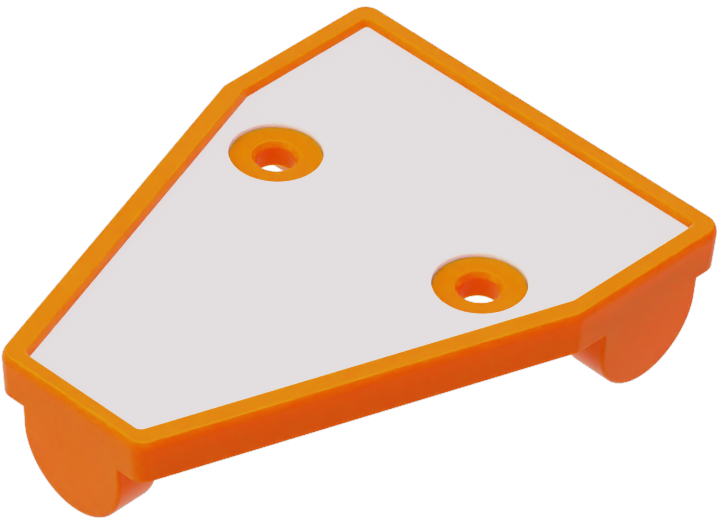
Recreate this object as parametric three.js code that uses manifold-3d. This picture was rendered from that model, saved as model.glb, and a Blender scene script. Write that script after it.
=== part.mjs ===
// A moulded plate with an elongated hexagon outline. A smooth panel is let into its face, two screw
// bosses pass through the panel, and three half-round lugs hang below the skirt as feet and stops.
//
// +X runs along the wide end, +Y from the narrow end to the wide end, and +Z up out of the face.
// The plate is a mirror image about X = 0, its outline is centred on the origin, and the lowest
// points of the lugs are at z = 0.
import * as THREE from 'three';
import { mergeVertices } from 'three/addons/utils/BufferGeometryUtils.js';
import Module from 'manifold-3d';

const wasm = await Module();
wasm.setup();

// Driving dimensions, in millimetres and degrees.
const WIDE_END = 99.4;
const NARROW_END = 39.2;
const LENGTH = 131.4;
const SHORT_SIDE = 41;            // the two sides that stand square to the wide end
const CORNER_RADIUS = 4;
const RIM_HEIGHT = 29.2;          // top of the rim above the lowest point of the lugs
const SKIRT_HEIGHT = 10.3;
const WALL_DRAFT = 4.4;           // the outer walls lean inwards towards the bottom
const SHOULDER_HEIGHT = 2.1;      // the outer walls curve inwards over this height below the rim's top,
const SHOULDER_INSET = 0.65;      // and meet its flat top in a crisp edge this far inside the outline

const RIM_WIDTHS = { wide: 3.9, short: 4.2, flank: 4.6, narrow: 3.5 };
const POCKET_CORNER_RADIUS = 0.8;
const PANEL_RECESS = 1.5;         // the panel's face lies this far below the rim
const LEAD_IN = 0.75;             // the pocket's walls slope outwards by this much above the panel
const PANEL_THICKNESS = 2.4;
const FILM_THICKNESS = 0.5;
const LAYER_GAP = 0.05;           // between the panel, the film and the pocket floor
const EDGE_GAP = 0.1;             // around the panel
const BOSS_GAP = 0.2;             // between the panel and each boss
const FILM_MARGIN = 0.7;          // the film stops this far short of the panel's edges
const DECK_THICKNESS = 3.6;
const SKIRT_WALL = 3.6;

const BOSS_SPACING = 56.2;
const BOSS_FROM_WIDE_END = 47.2;
const BOSS_RECESS = 1;            // each boss's flat top lies this far below the panel's face
const BOSS_DIAMETER = 18.6;
const HOLE_DIAMETER = 8;
const HOLE_MOUTH_DIAMETER = 9.8;
const HOLE_MOUTH_DEPTH = 1.15;

const SIDE_LUG_FROM_WIDE_END = 19.8;
const LUG_HALF_WIDTH = 13.3;
const LUG_CENTRE_HEIGHT = 14.4;   // below this level each lug is half an ellipse that ends at z = 0
const LUG_BACK = 12;              // from the rim's outer edge to the lug's back face
const LUG_SIDE_DRAFT = 0.6;       // the lug's rounded side narrows towards its back

const RIB_WIDTH = 2.4;

const CORNER_STEPS = 6;
const SHOULDER_STEPS = 5;
const LUG_STEPS = 32;
const CIRCLE_STEPS = 64;
const OVERSHOOT = 1;              // how far a cutter runs past the face that it opens

// Levels that follow from the driving dimensions.
const SKIRT_BOTTOM = RIM_HEIGHT - SKIRT_HEIGHT;
const PANEL_TOP = RIM_HEIGHT - PANEL_RECESS;
const BOSS_TOP = PANEL_TOP - BOSS_RECESS;
const PANEL_BOTTOM = PANEL_TOP - PANEL_THICKNESS;
const FILM_TOP = PANEL_BOTTOM - LAYER_GAP;
const FILM_BOTTOM = FILM_TOP - FILM_THICKNESS;
const POCKET_FLOOR = FILM_BOTTOM - LAYER_GAP;
const DECK_UNDERSIDE = POCKET_FLOOR - DECK_THICKNESS;
const BOSS_CENTRES = [-1, 1].map(
  (side) => new THREE.Vector2((side * BOSS_SPACING) / 2, LENGTH / 2 - BOSS_FROM_WIDE_END));
const SIDE_LUG_MIDDLE = LENGTH / 2 - SIDE_LUG_FROM_WIDE_END;
const SHOULDER_RADIUS = (SHOULDER_HEIGHT ** 2 + SHOULDER_INSET ** 2) / (2 * SHOULDER_INSET);
const SHOULDER_ANGLE = Math.asin(SHOULDER_HEIGHT / SHOULDER_RADIUS);

// ---------------------------------------------------------------- outlines

// The hexagon's sharp corners, counter-clockwise from the wide end's right-hand corner, and the kind
// of edge that leaves each corner.
const CORNERS = [
  { at: [WIDE_END / 2, LENGTH / 2], edge: 'wide' },
  { at: [-WIDE_END / 2, LENGTH / 2], edge: 'short' },
  { at: [-WIDE_END / 2, LENGTH / 2 - SHORT_SIDE], edge: 'flank' },
  { at: [-NARROW_END / 2, -LENGTH / 2], edge: 'narrow' },
  { at: [NARROW_END / 2, -LENGTH / 2], edge: 'flank' },
  { at: [WIDE_END / 2, LENGTH / 2 - SHORT_SIDE], edge: 'short' },
];

function evenInset(distance) {
  return { wide: distance, short: distance, flank: distance, narrow: distance };
}

function growInset(insets, distance) {
  return Object.fromEntries(Object.entries(insets).map(([edge, inset]) => [edge, inset + distance]));
}

// The hexagon's edges as lines, each moved inwards by its own inset.
function insetLines(insets) {
  return CORNERS.map(({ at, edge }, index) => {
    const start = new THREE.Vector2(...at);
    const end = new THREE.Vector2(...CORNERS[(index + 1) % CORNERS.length].at);
    const along = end.clone().sub(start).normalize();
    const inwards = new THREE.Vector2(-along.y, along.x);
    return { point: start.addScaledVector(inwards, insets[edge]), along, inwards };
  });
}

function crossing(first, second) {
  const gap = second.point.clone().sub(first.point);
  const distance = gap.cross(second.along) / first.along.cross(second.along);
  return first.point.clone().addScaledVector(first.along, distance);
}

// The hexagon moved inwards and with its corners rounded, as points in the XY plane.
function hexagon(insets, cornerRadius) {
  const lines = insetLines(insets);
  return lines.flatMap((line, index) => {
    const before = lines[(index + lines.length - 1) % lines.length];
    const corner = crossing(before, line);
    const turn = before.along.angleTo(line.along);
    const setback = cornerRadius * Math.tan(turn / 2);
    const centre = corner.clone().addScaledVector(before.along, -setback)
      .addScaledVector(before.inwards, cornerRadius);
    const startAngle = before.inwards.angle() + Math.PI;
    return Array.from({ length: CORNER_STEPS + 1 }, (_, step) => {
      const angle = startAngle + (turn * step) / CORNER_STEPS;
      return new THREE.Vector2(Math.cos(angle), Math.sin(angle)).multiplyScalar(cornerRadius).add(centre);
    });
  });
}

// A lug's outline seen from outside the plate: straight sides above a half ellipse. Its Y is height.
function lugOutline(narrowing, top) {
  const halfWidth = LUG_HALF_WIDTH - narrowing;
  const outline = [new THREE.Vector2(halfWidth, top), new THREE.Vector2(-halfWidth, top)];
  for (let step = 0; step <= LUG_STEPS; step += 1) {
    const angle = Math.PI + (Math.PI * step) / LUG_STEPS;
    outline.push(new THREE.Vector2(
      halfWidth * Math.cos(angle), LUG_CENTRE_HEIGHT * (1 + Math.sin(angle))));
  }
  return outline;
}

// ---------------------------------------------------------------- solids

function toSolid(geometry) {
  const bare = geometry.clone();
  bare.deleteAttribute('normal');
  bare.deleteAttribute('uv');
  const merged = mergeVertices(bare, 1e-4);
  return new wasm.Manifold(new wasm.Mesh({
    numProp: 3,
    vertProperties: new Float32Array(merged.attributes.position.array),
    triVerts: new Uint32Array(merged.index.array),
  }));
}

function toGeometry(solid) {
  const mesh = solid.getMesh();
  const geometry = new THREE.BufferGeometry();
  geometry.setAttribute('position', new THREE.BufferAttribute(new Float32Array(mesh.vertProperties), 3));
  geometry.setIndex(new THREE.BufferAttribute(new Uint32Array(mesh.triVerts), 1));
  geometry.computeVertexNormals();
  return geometry;
}

// A closed solid through a stack of counter-clockwise outlines, all with the same number of points.
function loft(levels) {
  const count = levels[0].outline.length;
  const positions = levels.flatMap(({ outline, z }) => outline.flatMap(({ x, y }) => [x, y, z]));
  const faces = [];
  for (let level = 0; level < levels.length - 1; level += 1) {
    for (let index = 0; index < count; index += 1) {
      const next = (index + 1) % count;
      const [low, lowNext] = [level * count + index, level * count + next];
      const [high, highNext] = [low + count, lowNext + count];
      faces.push(low, lowNext, highNext, low, highNext, high);
    }
  }
  const topStart = (levels.length - 1) * count;
  for (const [a, b, c] of THREE.ShapeUtils.triangulateShape(levels[0].outline, [])) {
    faces.push(a, c, b);
  }
  for (const [a, b, c] of THREE.ShapeUtils.triangulateShape(levels.at(-1).outline, [])) {
    faces.push(topStart + a, topStart + b, topStart + c);
  }
  const geometry = new THREE.BufferGeometry();
  geometry.setAttribute('position', new THREE.Float32BufferAttribute(positions, 3));
  geometry.setIndex(faces);
  return geometry;
}

function prism(outline, bottom, top) {
  return toSolid(loft([{ outline, z: bottom }, { outline, z: top }]));
}

function cylinder(centre, diameter, bottom, top) {
  const geometry = new THREE.CylinderGeometry(diameter / 2, diameter / 2, top - bottom, CIRCLE_STEPS);
  geometry.rotateX(Math.PI / 2);
  geometry.translate(centre.x, centre.y, (top + bottom) / 2);
  return toSolid(geometry);
}

function box(size, centre) {
  return toSolid(new THREE.BoxGeometry(...size).translate(...centre));
}

// Everything inside the leaning outer walls, from the curved shoulder down to the tips of the lugs.
function envelope() {
  const slope = Math.tan(THREE.MathUtils.degToRad(WALL_DRAFT));
  const level = (inset, z) => ({ outline: hexagon(evenInset(inset), CORNER_RADIUS - inset), z });
  const shoulderStart = RIM_HEIGHT - SHOULDER_HEIGHT;
  const levels = [level(shoulderStart * slope, 0)];
  for (let step = 0; step <= SHOULDER_STEPS; step += 1) {
    const angle = (SHOULDER_ANGLE * step) / SHOULDER_STEPS;
    const inset = SHOULDER_RADIUS * (1 - Math.cos(angle));
    levels.push(level(inset, shoulderStart + SHOULDER_RADIUS * Math.sin(angle)));
  }
  return toSolid(loft(levels));
}

// The pocket that the panel sits in, whose mouth slopes outwards above the panel's face.
function pocket() {
  const inside = hexagon(growInset(RIM_WIDTHS, LEAD_IN), POCKET_CORNER_RADIUS);
  const mouth = hexagon(RIM_WIDTHS, POCKET_CORNER_RADIUS + LEAD_IN);
  return toSolid(loft([
    { outline: inside, z: POCKET_FLOOR },
    { outline: inside, z: PANEL_TOP },
    { outline: mouth, z: RIM_HEIGHT },
    { outline: mouth, z: RIM_HEIGHT + OVERSHOOT },
  ]));
}

// One lug, built facing -Y at the origin and then turned and moved to its side of the plate.
function lug(position, turn) {
  const top = POCKET_FLOOR - DECK_THICKNESS / 2;
  const narrowing = LUG_BACK * Math.tan(THREE.MathUtils.degToRad(LUG_SIDE_DRAFT));
  const geometry = loft([
    { outline: lugOutline(narrowing, top), z: -LUG_BACK },
    { outline: lugOutline(0, top), z: OVERSHOOT },
  ]);
  geometry.rotateX(Math.PI / 2);
  geometry.rotateZ(turn);
  geometry.translate(position.x, position.y, 0);
  return toSolid(geometry);
}

// Stiffening ribs under the deck, as deep as the skirt's lip: one ties the two side lugs together and
// one runs from the narrow end's lug to meet it.
function ribs() {
  const top = DECK_UNDERSIDE + DECK_THICKNESS / 2;
  const height = top - SKIRT_BOTTOM;
  const middle = (top + SKIRT_BOTTOM) / 2;
  const lengthwise = SIDE_LUG_MIDDLE + LENGTH / 2;
  return box([WIDE_END, RIB_WIDTH, height], [0, SIDE_LUG_MIDDLE, middle])
    .add(box([RIB_WIDTH, lengthwise, height], [0, SIDE_LUG_MIDDLE - lengthwise / 2, middle]));
}

// The screw hole with its countersunk mouth, turned about the boss's own axis.
function screwHole(centre) {
  const bore = HOLE_DIAMETER / 2;
  const mouth = HOLE_MOUTH_DIAMETER / 2;
  const profile = [
    [0, DECK_UNDERSIDE - OVERSHOOT],
    [bore, DECK_UNDERSIDE - OVERSHOOT],
    [bore, BOSS_TOP - HOLE_MOUTH_DEPTH],
    [mouth, BOSS_TOP],
    [mouth, BOSS_TOP + OVERSHOOT],
    [0, BOSS_TOP + OVERSHOOT],
  ].map(([radius, z]) => new THREE.Vector2(radius, z));
  const geometry = new THREE.LatheGeometry(profile, CIRCLE_STEPS);
  geometry.rotateX(Math.PI / 2);
  geometry.translate(centre.x, centre.y, 0);
  return toSolid(geometry);
}

function mouldedBody() {
  const skirtInset = evenInset(SKIRT_WALL);
  const outside = hexagon(evenInset(-OVERSHOOT), CORNER_RADIUS);
  let solid = prism(outside, SKIRT_BOTTOM, RIM_HEIGHT + OVERSHOOT)
    .subtract(prism(hexagon(skirtInset, CORNER_RADIUS - SKIRT_WALL),
      SKIRT_BOTTOM - OVERSHOOT, DECK_UNDERSIDE))
    .add(ribs())
    .add(lug(new THREE.Vector2(0, -LENGTH / 2), 0))
    .add(lug(new THREE.Vector2(WIDE_END / 2, SIDE_LUG_MIDDLE), Math.PI / 2))
    .add(lug(new THREE.Vector2(-WIDE_END / 2, SIDE_LUG_MIDDLE), -Math.PI / 2))
    .intersect(envelope())
    .subtract(pocket());
  for (const centre of BOSS_CENTRES) {
    solid = solid
      .add(cylinder(centre, BOSS_DIAMETER, POCKET_FLOOR - DECK_THICKNESS / 2, BOSS_TOP))
      .subtract(screwHole(centre));
  }
  return solid;
}

// A flat layer in the pocket, with a clearance hole around each boss. The margin is what it falls
// short of the panel's own edges.
function pocketLayer(margin, bottom, top) {
  const holeDiameter = BOSS_DIAMETER + 2 * (BOSS_GAP + margin);
  return BOSS_CENTRES.reduce(
    (layer, centre) => layer.subtract(
      cylinder(centre, holeDiameter, bottom - OVERSHOOT, top + OVERSHOOT)),
    prism(hexagon(growInset(RIM_WIDTHS, LEAD_IN + EDGE_GAP + margin), POCKET_CORNER_RADIUS), bottom, top));
}

// ---------------------------------------------------------------- the object

const orangePlastic = new THREE.MeshStandardMaterial({
  color: new THREE.Color().setRGB(0.88, 0.47, 0.03, THREE.SRGBColorSpace), roughness: 0.35, metalness: 0,
});
const whitePlastic = new THREE.MeshStandardMaterial({
  color: new THREE.Color().setRGB(0.9, 0.88, 0.89, THREE.SRGBColorSpace), roughness: 0.3, metalness: 0,
});
const clearFilm = new THREE.MeshStandardMaterial({
  color: new THREE.Color().setRGB(0.85, 0.85, 0.82, THREE.SRGBColorSpace), roughness: 0.6, metalness: 0,
});

function namedMesh(name, solid, material) {
  const mesh = new THREE.Mesh(toGeometry(solid), material);
  mesh.name = name;
  return mesh;
}

const plate = new THREE.Group();
plate.add(
  namedMesh('moulded_body', mouldedBody(), orangePlastic),
  namedMesh('face_panel', pocketLayer(0, PANEL_BOTTOM, PANEL_TOP), whitePlastic),
  namedMesh('adhesive_film', pocketLayer(FILM_MARGIN, FILM_BOTTOM, FILM_TOP), clearFilm),
);

export default plate;
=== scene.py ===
"""Looks of a moulded orange plate: one injection moulding, a white panel let into its face, a hidden film.

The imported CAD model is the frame. Shapes are worked out in millimetres, in the CAD model's own axes
(+X along the wide end, +Y from the narrow end to the wide end, +Z up), and brought to metres once.
"""

import math

import bmesh
import bpy
from mathutils import Matrix, Vector


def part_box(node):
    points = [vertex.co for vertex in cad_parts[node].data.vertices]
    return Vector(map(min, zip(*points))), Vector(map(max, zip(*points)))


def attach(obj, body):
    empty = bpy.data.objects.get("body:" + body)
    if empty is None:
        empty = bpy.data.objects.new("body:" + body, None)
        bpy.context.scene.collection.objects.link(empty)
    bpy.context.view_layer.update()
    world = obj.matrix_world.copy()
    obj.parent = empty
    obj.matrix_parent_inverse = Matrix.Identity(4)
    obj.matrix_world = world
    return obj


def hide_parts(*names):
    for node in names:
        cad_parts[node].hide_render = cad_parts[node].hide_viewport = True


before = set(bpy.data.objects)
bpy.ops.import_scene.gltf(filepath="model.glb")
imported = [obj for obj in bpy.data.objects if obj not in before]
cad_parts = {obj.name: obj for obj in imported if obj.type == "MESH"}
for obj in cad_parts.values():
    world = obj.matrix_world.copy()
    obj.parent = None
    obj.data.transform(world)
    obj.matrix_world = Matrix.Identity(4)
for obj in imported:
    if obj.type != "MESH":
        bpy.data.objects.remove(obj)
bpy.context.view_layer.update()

MM = 0.001
BODY = "root"

# ---------------------------------------------------------------- sizes, in millimetres and degrees

body_low, body_high = (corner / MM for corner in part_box("moulded_body"))
panel_low, panel_high = (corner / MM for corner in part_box("face_panel"))
film_low, film_high = (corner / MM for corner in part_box("adhesive_film"))

WIDE_END = body_high.x - body_low.x
LENGTH = body_high.y - body_low.y
RIM_TOP = body_high.z
PANEL_TOP = panel_high.z
PANEL_BOTTOM = panel_low.z

NARROW_END = 39.2
SHORT_SIDE = 41.0
CORNER_RADIUS = 4.0
SKIRT_HEIGHT = 10.3
WALL_DRAFT = 4.4
SHOULDER_HEIGHT = 2.1
SHOULDER_INSET = 0.65
RIM_WIDTHS = {"wide": 3.9, "short": 4.2, "flank": 4.6, "narrow": 3.5}
POCKET_CORNER_RADIUS = 0.8
LEAD_IN = 0.75
EDGE_GAP = 0.1
BOSS_GAP = 0.2
LAYER_GAP = 0.05
FILM_MARGIN = 0.7
DECK_THICKNESS = 3.6
SKIRT_WALL = 3.6
BOSS_SPACING = 56.2
BOSS_FROM_WIDE_END = 47.2
BOSS_RECESS = 1.0
BOSS_DIAMETER = 18.6
HOLE_DIAMETER = 8.0
HOLE_MOUTH_DIAMETER = 9.8
HOLE_MOUTH_DEPTH = 1.15
SIDE_LUG_FROM_WIDE_END = 19.8
LUG_HALF_WIDTH = 13.3
LUG_CENTRE_HEIGHT = 14.4
LUG_BACK = 12.0
LUG_SIDE_DRAFT = 0.6
RIB_WIDTH = 2.4

# How far the mould rounds each kind of edge.
RIM_EDGE_RADIUS = 0.4
LUG_EDGE_RADIUS = 0.8
SKIRT_EDGE_RADIUS = 0.35
POCKET_EDGE_RADIUS = 0.3
BOSS_EDGE_RADIUS = 0.15
MOUTH_EDGE_RADIUS = 0.25
BORE_EDGE_RADIUS = 0.2
PANEL_EDGE_RADIUS = 0.12
RIB_EDGE_RADIUS = 0.4
INSIDE_CORNER_RADIUS = 0.6

# Shapes that are cut or joined pass through each other's faces by OVERSHOOT, and flush faces keep HAIR apart.
OVERSHOOT = 1.0
HAIR = 0.001

SKIRT_BOTTOM = RIM_TOP - SKIRT_HEIGHT
POCKET_FLOOR = film_low.z - LAYER_GAP
BOSS_TOP = PANEL_TOP - BOSS_RECESS
DECK_UNDERSIDE = POCKET_FLOOR - DECK_THICKNESS
DECK_MIDDLE = POCKET_FLOOR - DECK_THICKNESS / 2
SIDE_LUG_MIDDLE = LENGTH / 2 - SIDE_LUG_FROM_WIDE_END
SHOULDER_RADIUS = (SHOULDER_HEIGHT ** 2 + SHOULDER_INSET ** 2) / (2 * SHOULDER_INSET)
SHOULDER_ANGLE = math.asin(SHOULDER_HEIGHT / SHOULDER_RADIUS)
BOSS_CENTRES = [Vector((side * BOSS_SPACING / 2, LENGTH / 2 - BOSS_FROM_WIDE_END)) for side in (-1, 1)]

CORNER_STEPS = 14
ROUNDING_STEPS = 8
SHOULDER_STEPS = 8
LUG_STEPS = 72
CIRCLE_STEPS = 96
SMALLEST_CORNER = 0.05
SHARP_ANGLE = 30.0
FLAT_ANGLE = 0.05

# The hexagon's sharp corners, counter-clockwise, and the kind of edge that leaves each.
CORNERS = [
    (Vector((WIDE_END / 2, LENGTH / 2)), "wide"),
    (Vector((-WIDE_END / 2, LENGTH / 2)), "short"),
    (Vector((-WIDE_END / 2, LENGTH / 2 - SHORT_SIDE)), "flank"),
    (Vector((-NARROW_END / 2, -LENGTH / 2)), "narrow"),
    (Vector((NARROW_END / 2, -LENGTH / 2)), "flank"),
    (Vector((WIDE_END / 2, LENGTH / 2 - SHORT_SIDE)), "short"),
]


# ---------------------------------------------------------------- outlines and profiles

def even_inset(distance):
    return {edge: distance for edge in RIM_WIDTHS}


def grow_inset(insets, distance):
    return {edge: inset + distance for edge, inset in insets.items()}


def inset_lines(insets):
    """The hexagon's edges as (point, direction, inward normal), each moved inwards by its own inset."""
    lines = []
    for index, (start, edge) in enumerate(CORNERS):
        end = CORNERS[(index + 1) % len(CORNERS)][0]
        along = (end - start).normalized()
        inwards = Vector((-along.y, along.x))
        lines.append((start + inwards * insets[edge], along, inwards))
    return lines


def cross2(a, b):
    return a.x * b.y - a.y * b.x


def hexagon(insets, corner_radius):
    """The hexagon moved inwards and with its corners rounded, as a list of 2-D points."""
    lines = inset_lines(insets)
    points = []
    for index, (point, along, inwards) in enumerate(lines):
        before_point, before_along, before_inwards = lines[index - 1]
        distance = cross2(point - before_point, along) / cross2(before_along, along)
        corner = before_point + before_along * distance
        turn = before_along.angle(along)
        centre = corner - before_along * corner_radius * math.tan(turn / 2) + before_inwards * corner_radius
        start = math.atan2(-before_inwards.y, -before_inwards.x)
        for step in range(CORNER_STEPS + 1):
            angle = start + turn * step / CORNER_STEPS
            points.append(centre + corner_radius * Vector((math.cos(angle), math.sin(angle))))
    return points


def circle(centre, radius, steps=CIRCLE_STEPS):
    angles = [2 * math.pi * step / steps for step in range(steps)]
    return [centre + radius * Vector((math.cos(angle), math.sin(angle))) for angle in angles]


def lug_outline(narrowing):
    """A lug seen from outside the plate: straight sides above a half ellipse. The second value is height."""
    half_width = LUG_HALF_WIDTH - narrowing
    half_height = LUG_CENTRE_HEIGHT - narrowing
    points = [Vector((half_width, DECK_MIDDLE)), Vector((-half_width, DECK_MIDDLE))]
    for step in range(LUG_STEPS + 1):
        angle = math.pi + math.pi * step / LUG_STEPS
        height = LUG_CENTRE_HEIGHT + half_height * math.sin(angle)
        points.append(Vector((half_width * math.cos(angle), height)))
    return points


def soft_profile(corners):
    """A line through (offset, height, rounding) corners, each turned through an arc of its own rounding."""
    places = [Vector(corner[:2]) for corner in corners]
    points = []
    for index, (place, corner) in enumerate(zip(places, corners)):
        radius = corner[2]
        if radius == 0:
            points.append(place)
            continue
        back = (places[index - 1] - place).normalized()
        on = (places[index + 1] - place).normalized()
        half_angle = back.angle(on) / 2
        centre = place + (back + on).normalized() * radius / math.sin(half_angle)
        setback = radius / math.tan(half_angle)
        first = place + back * setback - centre
        turn = math.pi - 2 * half_angle
        if cross2(-back, on) < 0:
            turn = -turn
        for step in range(ROUNDING_STEPS + 1):
            angle = turn * step / ROUNDING_STEPS
            turned = Vector((first.x * math.cos(angle) - first.y * math.sin(angle),
                             first.x * math.sin(angle) + first.y * math.cos(angle)))
            points.append(centre + turned)
    return points


def wall_inset(height):
    """How far the leaning outer walls stand inside their widest line, below the shoulder."""
    return (RIM_TOP - SHOULDER_HEIGHT - height) * math.tan(math.radians(WALL_DRAFT))


def shoulder():
    """Profile corners up the curve by which the outer walls turn in, to the edge of the rim's flat top."""
    corners = []
    for step in range(SHOULDER_STEPS + 1):
        angle = SHOULDER_ANGLE * step / SHOULDER_STEPS
        inset = SHOULDER_RADIUS * (1 - math.cos(angle))
        height = RIM_TOP - SHOULDER_HEIGHT + SHOULDER_RADIUS * math.sin(angle)
        corners.append((inset, height, RIM_EDGE_RADIUS if step == SHOULDER_STEPS else 0))
    return corners


# ---------------------------------------------------------------- solids

def make_object(name, mesh_data):
    piece = bpy.data.objects.new(name, mesh_data)
    bpy.context.scene.collection.objects.link(piece)
    return piece


def loft(name, rings):
    """A closed solid through a stack of rings of 3-D points, with the same number of points in each."""
    mesh = bmesh.new()
    made = [[mesh.verts.new(point) for point in ring] for ring in rings]
    for low, high in zip(made, made[1:]):
        for index in range(len(low)):
            following = (index + 1) % len(low)
            mesh.faces.new((low[index], low[following], high[following], high[index]))
    mesh.faces.new(made[0][::-1])
    mesh.faces.new(made[-1])
    if mesh.calc_volume(signed=True) < 0:
        bmesh.ops.reverse_faces(mesh, faces=mesh.faces)
    data = bpy.data.meshes.new(name)
    mesh.to_mesh(data)
    mesh.free()
    return make_object(name, data)


def level(outline, height):
    return [Vector((point.x, point.y, height)) for point in outline]


def stacked_hexagons(name, insets, corner_radius, profile):
    """A solid with the hexagon's outline, whose inset changes with height as the profile says."""
    rings = []
    for point in profile:
        radius = max(corner_radius - point.x, SMALLEST_CORNER)
        rings.append(level(hexagon(grow_inset(insets, point.x), radius), point.y))
    return loft(name, rings)


def turned(name, centre, profile, steps=CIRCLE_STEPS):
    """A round solid about an upright axis, whose radius changes with height as the profile says."""
    return loft(name, [level(circle(centre, point.x, steps), point.y) for point in profile])


def combine(target, tool, operation):
    """Joins the tool to the target or cuts it out, and removes the tool."""
    modifier = target.modifiers.new("combine", "BOOLEAN")
    modifier.operation = operation
    modifier.solver = "EXACT"
    modifier.object = tool
    evaluated = target.evaluated_get(bpy.context.evaluated_depsgraph_get())
    result = bpy.data.meshes.new_from_object(evaluated)
    target.modifiers.clear()
    target.data = result
    bpy.data.objects.remove(tool)
    return target


def outer_block():
    inner = SKIRT_WALL + OVERSHOOT
    profile = soft_profile([
        (inner, SKIRT_BOTTOM, 0),
        (wall_inset(SKIRT_BOTTOM), SKIRT_BOTTOM, SKIRT_EDGE_RADIUS),
        *shoulder(),
        (SHOULDER_INSET + OVERSHOOT, RIM_TOP, 0),
    ])
    return stacked_hexagons("moulding", even_inset(0), CORNER_RADIUS, profile)


def underside_hollow():
    profile = soft_profile([
        (-OVERSHOOT, SKIRT_BOTTOM - HAIR, 0),
        (0, SKIRT_BOTTOM - HAIR, SKIRT_EDGE_RADIUS),
        (0, DECK_UNDERSIDE, INSIDE_CORNER_RADIUS),
        (OVERSHOOT, DECK_UNDERSIDE, 0),
    ])
    return stacked_hexagons("hollow", even_inset(SKIRT_WALL), CORNER_RADIUS - SKIRT_WALL, profile)


def rib(start, end):
    """A rib under the deck along a straight line, with its lower edges rounded."""
    half = RIB_WIDTH / 2
    section = soft_profile([
        (-half, DECK_MIDDLE, 0),
        (-half, SKIRT_BOTTOM + HAIR, RIB_EDGE_RADIUS),
        (half, SKIRT_BOTTOM + HAIR, RIB_EDGE_RADIUS),
        (half, DECK_MIDDLE, 0),
    ])
    along = (end - start).normalized()
    across = Vector((along.y, -along.x))
    return loft("rib", [[Vector((*(place + across * point.x), point.y)) for point in section]
                        for place in (start, end)])


def lug(position, turn):
    """One lug, whose front lies flush with the leaning wall, turned and moved to its side of the plate."""
    place = Matrix.Translation((*position, 0)) @ Matrix.Rotation(turn, 4, "Z")
    draft = math.tan(math.radians(LUG_SIDE_DRAFT))
    front = [(1 - math.sin(angle), 1 - math.cos(angle)) for angle in
             (math.pi / 2 * step / ROUNDING_STEPS for step in range(ROUNDING_STEPS + 1))]
    rings = []
    for shrink, depth in front:
        outline = lug_outline(shrink * LUG_EDGE_RADIUS)
        rings.append([place @ Vector((point.x, wall_inset(point.y) + HAIR + depth * LUG_EDGE_RADIUS, point.y))
                      for point in outline])
    for shrink, depth in reversed(front):
        outline = lug_outline(LUG_BACK * draft + shrink * LUG_EDGE_RADIUS)
        back = LUG_BACK - depth * LUG_EDGE_RADIUS
        rings.append([place @ Vector((point.x, back, point.y)) for point in outline])
    return loft("lug", rings)


def pocket():
    profile = soft_profile([
        (LEAD_IN, POCKET_FLOOR, 0),
        (LEAD_IN, PANEL_TOP, 0),
        (0, RIM_TOP + HAIR, POCKET_EDGE_RADIUS),
        (-OVERSHOOT, RIM_TOP + HAIR, 0),
    ])
    return stacked_hexagons("pocket", RIM_WIDTHS, POCKET_CORNER_RADIUS + LEAD_IN, profile)


def boss(centre):
    radius = BOSS_DIAMETER / 2
    return turned("boss", centre, soft_profile([
        (radius, DECK_MIDDLE, 0),
        (radius, BOSS_TOP, BOSS_EDGE_RADIUS),
        (radius - OVERSHOOT, BOSS_TOP, 0),
    ]))


def screw_hole(centre):
    radius = HOLE_DIAMETER / 2
    mouth = HOLE_MOUTH_DIAMETER / 2
    return turned("hole", centre, soft_profile([
        (radius, DECK_UNDERSIDE - OVERSHOOT, 0),
        (radius, BOSS_TOP - HOLE_MOUTH_DEPTH, BORE_EDGE_RADIUS),
        (mouth, BOSS_TOP + HAIR, MOUTH_EDGE_RADIUS),
        (mouth + OVERSHOOT, BOSS_TOP + HAIR, 0),
    ]))


def moulded_body():
    plate = outer_block()
    combine(plate, underside_hollow(), "DIFFERENCE")
    inside_x = WIDE_END / 2 - SKIRT_WALL / 2
    inside_y = -LENGTH / 2 + SKIRT_WALL / 2
    combine(plate, rib(Vector((-inside_x, SIDE_LUG_MIDDLE)), Vector((inside_x, SIDE_LUG_MIDDLE))), "UNION")
    combine(plate, rib(Vector((0, inside_y)), Vector((0, SIDE_LUG_MIDDLE))), "UNION")
    for position, turn in (((0, -LENGTH / 2), 0), ((WIDE_END / 2, SIDE_LUG_MIDDLE), math.pi / 2),
                           ((-WIDE_END / 2, SIDE_LUG_MIDDLE), -math.pi / 2)):
        combine(plate, lug(position, turn), "UNION")
    combine(plate, pocket(), "DIFFERENCE")
    for centre in BOSS_CENTRES:
        combine(plate, boss(centre), "UNION")
        combine(plate, screw_hole(centre), "DIFFERENCE")
    return plate


def pocket_layer(name, margin, rounding, bottom, top):
    """A flat layer in the pocket, short of the panel's own edges by the margin, holed round each boss."""
    profile = soft_profile([
        (rounding + OVERSHOOT, bottom, 0),
        (0, bottom, rounding),
        (0, top, rounding),
        (rounding + OVERSHOOT, top, 0),
    ])
    insets = grow_inset(RIM_WIDTHS, LEAD_IN + EDGE_GAP + margin)
    layer = stacked_hexagons(name, insets, POCKET_CORNER_RADIUS, profile)
    clear = BOSS_DIAMETER / 2 + BOSS_GAP + margin
    for centre in BOSS_CENTRES:
        combine(layer, turned("clearance", centre, soft_profile([
            (clear + rounding, bottom - OVERSHOOT, 0),
            (clear, bottom - HAIR, 0),
            (clear, top + HAIR, rounding),
            (clear + OVERSHOOT, top + HAIR, 0),
        ])), "DIFFERENCE")
    return layer


def clean(piece):
    """Removes the slivers and the needless divisions that cutting leaves, and brings the piece to metres."""
    mesh = bmesh.new()
    mesh.from_mesh(piece.data)
    bmesh.ops.remove_doubles(mesh, verts=mesh.verts, dist=HAIR * 2)
    bmesh.ops.dissolve_degenerate(mesh, edges=mesh.edges, dist=HAIR)
    bmesh.ops.dissolve_limit(mesh, angle_limit=math.radians(FLAT_ANGLE), verts=mesh.verts, edges=mesh.edges)
    bmesh.ops.scale(mesh, verts=mesh.verts, vec=(MM, MM, MM))
    mesh.to_mesh(piece.data)
    mesh.free()


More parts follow.
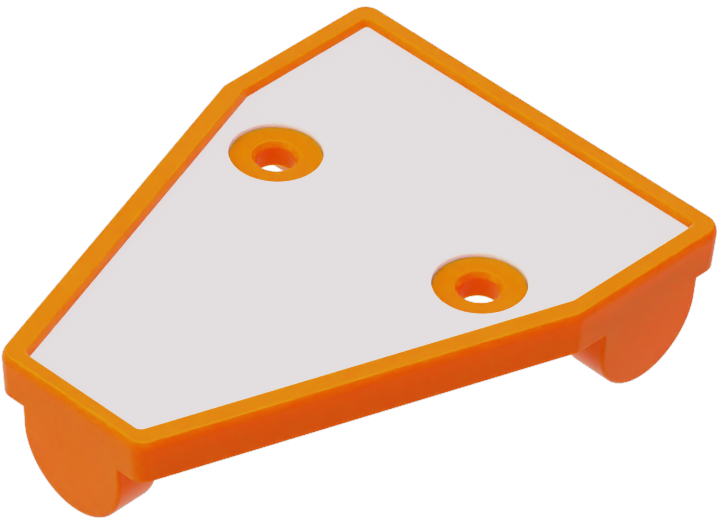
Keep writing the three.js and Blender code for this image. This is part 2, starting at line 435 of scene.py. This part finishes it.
# ---------------------------------------------------------------- materials

def new_material(name):
    material = bpy.data.materials.new(name)
    material.use_nodes = True
    nodes = material.node_tree.nodes
    return material, nodes, material.node_tree.links, nodes["Principled BSDF"]


def noise(nodes, links, place, feature_size, detail=2.0, roughness=0.5):
    """A noise texture whose features have the given size in metres."""
    texture = nodes.new("ShaderNodeTexNoise")
    texture.inputs["Scale"].default_value = 1.0 / feature_size
    texture.inputs["Detail"].default_value = detail
    texture.inputs["Roughness"].default_value = roughness
    links.new(place, texture.inputs["Vector"])
    return texture.outputs["Fac"]


# Most of a noise texture's values lie in this range.
NOISE_RANGE = (0.3, 0.7)


def spread(nodes, links, value, low, high):
    """A noise value from its usual range, spread from low to high."""
    ranger = nodes.new("ShaderNodeMapRange")
    ranger.inputs["From Min"].default_value = NOISE_RANGE[0]
    ranger.inputs["From Max"].default_value = NOISE_RANGE[1]
    ranger.inputs["To Min"].default_value = low
    ranger.inputs["To Max"].default_value = high
    links.new(value, ranger.inputs["Value"])
    return ranger.outputs["Result"]


def blend_colours(nodes, links, amount, first, second):
    mix = nodes.new("ShaderNodeMix")
    mix.data_type = "RGBA"
    links.new(amount, mix.inputs["Factor"])
    for socket, colour in (("A", first), ("B", second)):
        target = [entry for entry in mix.inputs if entry.name == socket and entry.type == "RGBA"][0]
        if isinstance(colour, tuple):
            target.default_value = (*colour, 1.0)
        else:
            links.new(colour, target)
    return [entry for entry in mix.outputs if entry.type == "RGBA"][0]


def bump(nodes, links, height, depth, below=None):
    """Raises the surface by up to depth metres where height is 1."""
    node = nodes.new("ShaderNodeBump")
    node.inputs["Strength"].default_value = 1.0
    node.inputs["Distance"].default_value = depth
    links.new(height, node.inputs["Height"])
    if below is not None:
        links.new(below, node.inputs["Normal"])
    return node.outputs["Normal"]


def calculate(nodes, links, operation, first, second):
    node = nodes.new("ShaderNodeMath")
    node.operation = operation
    links.new(first, node.inputs[0])
    if isinstance(second, float):
        node.inputs[1].default_value = second
    else:
        links.new(second, node.inputs[1])
    return node.outputs["Value"]


# Where the upward part of the surface's normal marks an edge: the marking rises over the first pair of
# values, from the steepest walls and shoulders, and falls over the second, to faces that point straight up.
EDGE_STARTS = (0.70, 0.78)
EDGE_ENDS = (0.97, 0.995)


def worn_and_highlit_edges(nodes, links, place):
    """Up to 1 in patches along the edges that turn over to a face pointing up, and 0 on faces and walls. It
    marks where the edges carry both wear and a painted highlight along their lit rounding.
    """
    split = nodes.new("ShaderNodeSeparateXYZ")
    links.new(nodes.new("ShaderNodeNewGeometry").outputs["Normal"], split.inputs["Vector"])
    ramp = nodes.new("ShaderNodeValToRGB")
    stops = ramp.color_ramp.elements
    stops[0].position = EDGE_STARTS[0]
    stops[1].position = EDGE_ENDS[1]
    stops[1].color = (0.0, 0.0, 0.0, 1.0)
    for position in (EDGE_STARTS[1], EDGE_ENDS[0]):
        stops.new(position).color = (1.0, 1.0, 1.0, 1.0)
    links.new(split.outputs["Z"], ramp.inputs["Fac"])
    patches = spread(nodes, links, noise(nodes, links, place, 0.004, 2.0), 0.0, 1.0)
    return calculate(nodes, links, "MULTIPLY", ramp.outputs["Color"], patches)


def orange_moulding():
    material, nodes, links, shader = new_material("orange_moulding")
    place = nodes.new("ShaderNodeTexCoord").outputs["Object"]
    clouds = spread(nodes, links, noise(nodes, links, place, 0.025, 3.0), 0.0, 1.0)
    fresh = blend_colours(nodes, links, clouds, (0.95, 0.143, 0.0012), (0.96, 0.153, 0.0016))
    wear_and_highlight = worn_and_highlit_edges(nodes, links, place)
    # The edges turning over to the top are paler and yellower: partly wear, partly a painted highlight where
    # the overhead light catches the rounding.
    links.new(blend_colours(nodes, links, wear_and_highlight, fresh, (0.97, 0.19, 0.006)), shader.inputs["Base Color"])
    patches = spread(nodes, links, noise(nodes, links, place, 0.010, 1.0), 0.28, 0.33)
    rubbed = calculate(nodes, links, "MULTIPLY", wear_and_highlight, 0.08)
    links.new(calculate(nodes, links, "ADD", patches, rubbed), shader.inputs["Roughness"])
    waviness = bump(nodes, links, noise(nodes, links, place, 0.012), 0.00002)
    grain = bump(nodes, links, noise(nodes, links, place, 0.00035, 2.0), 0.000006, waviness)
    links.new(grain, shader.inputs["Normal"])
    shader.inputs["Subsurface Weight"].default_value = 1.0
    shader.inputs["Subsurface Radius"].default_value = (1.0, 0.12, 0.03)
    shader.inputs["Subsurface Scale"].default_value = 0.020
    shader.inputs["Specular IOR Level"].default_value = 0.5
    shader.inputs["Specular Tint"].default_value = (1.0, 0.45, 0.06, 1.0)
    return material


def white_panel():
    material, nodes, links, shader = new_material("white_panel")
    place = nodes.new("ShaderNodeTexCoord").outputs["Object"]
    clouds = spread(nodes, links, noise(nodes, links, place, 0.03, 2.0), 0.0, 1.0)
    fresh = blend_colours(nodes, links, clouds, (0.80, 0.765, 0.785), (0.79, 0.765, 0.795))
    wear_and_highlight = worn_and_highlit_edges(nodes, links, place)
    # The edges turning over to the top are lighter: partly wear, partly a painted highlight along the lit
    # rounding.
    links.new(blend_colours(nodes, links, wear_and_highlight, fresh, (0.84, 0.82, 0.82)), shader.inputs["Base Color"])
    patches = spread(nodes, links, noise(nodes, links, place, 0.010, 4.0, 0.6), 0.34, 0.44)
    rubbed = calculate(nodes, links, "MULTIPLY", wear_and_highlight, 0.12)
    links.new(calculate(nodes, links, "ADD", patches, rubbed), shader.inputs["Roughness"])
    grain = bump(nodes, links, noise(nodes, links, place, 0.0004, 2.0), 0.000004)
    links.new(grain, shader.inputs["Normal"])
    shader.inputs["Subsurface Weight"].default_value = 1.0
    shader.inputs["Subsurface Radius"].default_value = (1.0, 0.93, 0.90)
    shader.inputs["Subsurface Scale"].default_value = 0.0025
    shader.inputs["Specular IOR Level"].default_value = 0.4
    return material


def bonding_film():
    material, nodes, links, shader = new_material("bonding_film")
    place = nodes.new("ShaderNodeTexCoord").outputs["Object"]
    fibres = spread(nodes, links, noise(nodes, links, place, 0.0008, 4.0, 0.7), 0.0, 1.0)
    colour = blend_colours(nodes, links, fibres, (0.70, 0.69, 0.64), (0.80, 0.79, 0.75))
    links.new(colour, shader.inputs["Base Color"])
    links.new(spread(nodes, links, fibres, 0.6, 0.8), shader.inputs["Roughness"])
    links.new(bump(nodes, links, fibres, 0.00003), shader.inputs["Normal"])
    return material


def pale_floor():
    """A dark floor that glows an even white over any shadow, and is clear when seen from beneath."""
    material, nodes, links, shader = new_material("pale_floor")
    place = nodes.new("ShaderNodeTexCoord").outputs["Object"]
    clouds = spread(nodes, links, noise(nodes, links, place, 0.2, 2.0), 0.0, 1.0)
    colour = blend_colours(nodes, links, clouds, (0.045, 0.045, 0.045), (0.050, 0.050, 0.050))
    links.new(colour, shader.inputs["Base Color"])
    shader.inputs["Roughness"].default_value = 0.9
    shader.inputs["Specular IOR Level"].default_value = 0.0
    shader.inputs["Emission Color"].default_value = (1.0, 1.0, 1.0, 1.0)
    shader.inputs["Emission Strength"].default_value = FLOOR_GLOW
    clear = nodes.new("ShaderNodeBsdfTransparent")
    choice = nodes.new("ShaderNodeMixShader")
    links.new(nodes.new("ShaderNodeNewGeometry").outputs["Backfacing"], choice.inputs["Fac"])
    links.new(shader.outputs["BSDF"], choice.inputs[1])
    links.new(clear.outputs["BSDF"], choice.inputs[2])
    links.new(choice.outputs["Shader"], nodes["Material Output"].inputs["Surface"])
    return material


# ---------------------------------------------------------------- studio

CAMERA_AZIMUTH = 43.103
CAMERA_ELEVATION = 38.930
CAMERA_ROLL = 2.445
CAMERA_DISTANCE = 1671.6
CAMERA_TARGET = Vector((7.12, 6.52, PANEL_TOP))
CAMERA_LENS = 428.16
SENSOR_WIDTH = 36.0
VIEW_REACH = 10.0
FLOOR_GLOW = 2.3
FLOOR_REACH = 6000.0
FLOOR_HEIGHT = -0.02
LIGHT_FROM_BELOW = 0.70
LIGHT_FROM_ABOVE = 0.06
HORIZON_BLEND = 0.15
WHITE_LIGHT = 2.2
RED_RESPONSE = [(0.45, 0.47), (0.65, 0.69), (0.90, 0.757), (1.50, 0.775)]
GREEN_RESPONSE = [(0.09, 0.086), (0.20, 0.235), (0.68, 0.69), (1.50, 0.762)]
BLUE_RESPONSE = [(0.03, 0.012), (0.10, 0.10), (0.68, 0.69), (1.50, 0.780)]


def direction(azimuth, elevation):
    """The unit vector from the object towards a place at that azimuth and elevation, in degrees."""
    around, up = math.radians(azimuth), math.radians(elevation)
    return Vector((math.sin(around) * math.cos(up), -math.cos(around) * math.cos(up), math.sin(up)))


def add_camera():
    data = bpy.data.cameras.new("camera")
    data.lens = CAMERA_LENS
    data.sensor_width = SENSOR_WIDTH
    data.clip_end = VIEW_REACH
    camera = bpy.data.objects.new("camera", data)
    bpy.context.scene.collection.objects.link(camera)
    back = direction(CAMERA_AZIMUTH, CAMERA_ELEVATION)
    level_right = Vector((-back.y, back.x, 0)).normalized()
    level_up = back.cross(level_right)
    roll = math.radians(CAMERA_ROLL)
    right = level_right * math.cos(roll) + level_up * math.sin(roll)
    up = level_up * math.cos(roll) - level_right * math.sin(roll)
    turn = Matrix((right, up, back)).transposed().to_4x4()
    camera.matrix_world = Matrix.Translation((CAMERA_TARGET + back * CAMERA_DISTANCE) * MM) @ turn
    bpy.context.scene.camera = camera


def add_softbox(name, azimuth, elevation, distance, width, height, power, colour=(1.0, 1.0, 1.0)):
    data = bpy.data.lights.new(name, "AREA")
    data.shape = "RECTANGLE"
    data.size = width
    data.size_y = height
    data.energy = power
    data.color = colour
    light = bpy.data.objects.new(name, data)
    bpy.context.scene.collection.objects.link(light)
    towards = direction(azimuth, elevation)
    light.location = towards * distance
    light.rotation_mode = "QUATERNION"
    light.rotation_quaternion = (-towards).to_track_quat("-Z", "Y")


def add_world():
    """Weak even light from above the horizon, and from below it the light that a white floor sends back."""
    world = bpy.data.worlds.new("world")
    bpy.context.scene.world = world
    world.use_nodes = True
    nodes = world.node_tree.nodes
    links = world.node_tree.links
    split = nodes.new("ShaderNodeSeparateXYZ")
    links.new(nodes.new("ShaderNodeTexCoord").outputs["Generated"], split.inputs["Vector"])
    strength = nodes.new("ShaderNodeMapRange")
    strength.inputs["From Min"].default_value = -HORIZON_BLEND
    strength.inputs["From Max"].default_value = HORIZON_BLEND
    strength.inputs["To Min"].default_value = LIGHT_FROM_BELOW
    strength.inputs["To Max"].default_value = LIGHT_FROM_ABOVE
    links.new(split.outputs["Z"], strength.inputs["Value"])
    links.new(strength.outputs["Result"], nodes["Background"].inputs["Strength"])
    nodes["Background"].inputs["Color"].default_value = (1.0, 1.0, 1.0, 1.0)


def add_floor():
    """A floor that only the camera sees. The world gives the light that a white floor would send back."""
    mesh = bmesh.new()
    ring = level(circle(Vector((0, 0)), FLOOR_REACH), FLOOR_HEIGHT)
    mesh.faces.new([mesh.verts.new(point * MM) for point in ring])
    data = bpy.data.meshes.new("floor")
    mesh.to_mesh(data)
    mesh.free()
    data.materials.append(pale_floor())
    floor = make_object("floor", data)
    floor.visible_diffuse = False
    floor.visible_glossy = False


def set_film():
    """A photographic response, which turns the light in each channel into a tone along straight stretches."""
    settings = bpy.context.scene.view_settings
    settings.view_transform = "Standard"
    settings.look = "None"
    settings.use_curve_mapping = True
    mapping = settings.curve_mapping
    mapping.clip_max_x = WHITE_LIGHT
    mapping.clip_max_y = 1.0
    mapping.extend = "HORIZONTAL"
    mapping.curves[3].points[1].location = (WHITE_LIGHT, WHITE_LIGHT)
    for curve, response in zip(mapping.curves, (RED_RESPONSE, GREEN_RESPONSE, BLUE_RESPONSE)):
        curve.points[1].location = (WHITE_LIGHT, 1.0)
        for light, tone in response:
            curve.points.new(light, tone)
    for curve in mapping.curves:
        for point in curve.points:
            point.handle_type = "VECTOR"
    mapping.update()


# ---------------------------------------------------------------- putting it together

def place_piece(piece, node, material):
    piece.name = node + "_look"
    clean(piece)
    piece.data.shade_smooth()
    piece.data.set_sharp_from_angle(angle=math.radians(SHARP_ANGLE))
    normals = piece.modifiers.new("even shading", "WEIGHTED_NORMAL")
    normals.keep_sharp = True
    piece.data.materials.clear()
    piece.data.materials.append(material)
    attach(piece, BODY)
    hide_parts(node)


plate = moulded_body()
place_piece(plate, "moulded_body", orange_moulding())

panel = pocket_layer("panel", 0, PANEL_EDGE_RADIUS, PANEL_BOTTOM, PANEL_TOP)
place_piece(panel, "face_panel", white_panel())

film = pocket_layer("film", FILM_MARGIN, 0, film_low.z, film_high.z)
place_piece(film, "adhesive_film", bonding_film())

add_camera()
add_floor()
add_world()
add_softbox("overhead", azimuth=0, elevation=88, distance=1.6, width=1.6, height=1.6, power=42.0)
add_softbox("fill", azimuth=-25, elevation=25, distance=1.6, width=1.0, height=1.0, power=12.0,
            colour=(1.0, 1.0, 0.5))
add_softbox("side", azimuth=75, elevation=20, distance=1.6, width=1.0, height=1.0, power=4.5,
            colour=(1.0, 0.45, 0.9))
add_softbox("back", azimuth=223, elevation=5, distance=3.0, width=1.5, height=0.3, power=45.0)
set_film()
